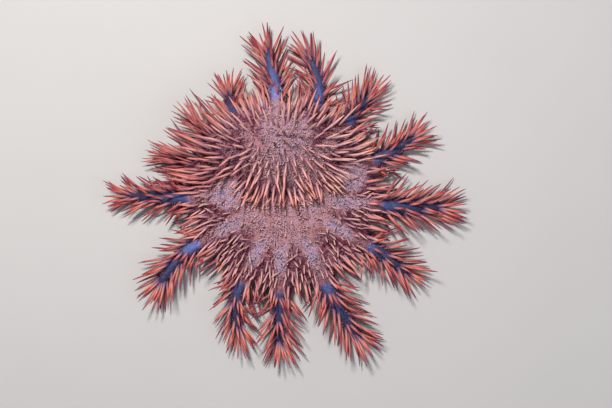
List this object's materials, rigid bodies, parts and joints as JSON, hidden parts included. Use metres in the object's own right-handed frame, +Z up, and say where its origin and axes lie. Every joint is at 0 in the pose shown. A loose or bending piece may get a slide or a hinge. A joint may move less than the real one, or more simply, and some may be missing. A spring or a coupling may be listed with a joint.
{
  "type": "crown of thorns starfish",
  "caption": "Life-size crown-of-thorns starfish at rest: humped round disc ringed by arms, covered in long tapering spines, with the mouth underneath. A still display model.",
  "frame": {"origin": "on the floor under the middle of the animal's bounding box", "axes": "+Z up; +Y towards the humped side of the disc, which is the top of the picture; +X to the picture's right"},
  "size_m": [0.3682, 0.3484, 0.0794],
  "materials": {
    "disc_skin": "satin",
    "arm_skin": "satin",
    "spine": "satin",
    "papula": "matte",
    "tube_foot": "satin"
  },
  "bodies": {
    "root": {"disc": "disc_skin", "arm_01": "arm_skin", "arm_02": "arm_skin", "arm_03": "arm_skin", "arm_04": "arm_skin", "arm_05": "arm_skin", "arm_06": "arm_skin", "arm_07": "arm_skin", "arm_08": "arm_skin", "arm_09": "arm_skin", "arm_10": "arm_skin", "arm_11": "arm_skin", "arm_12": "arm_skin", "arm_13": "arm_skin", "arm_14": "arm_skin"}
  },
  "joints": []
}
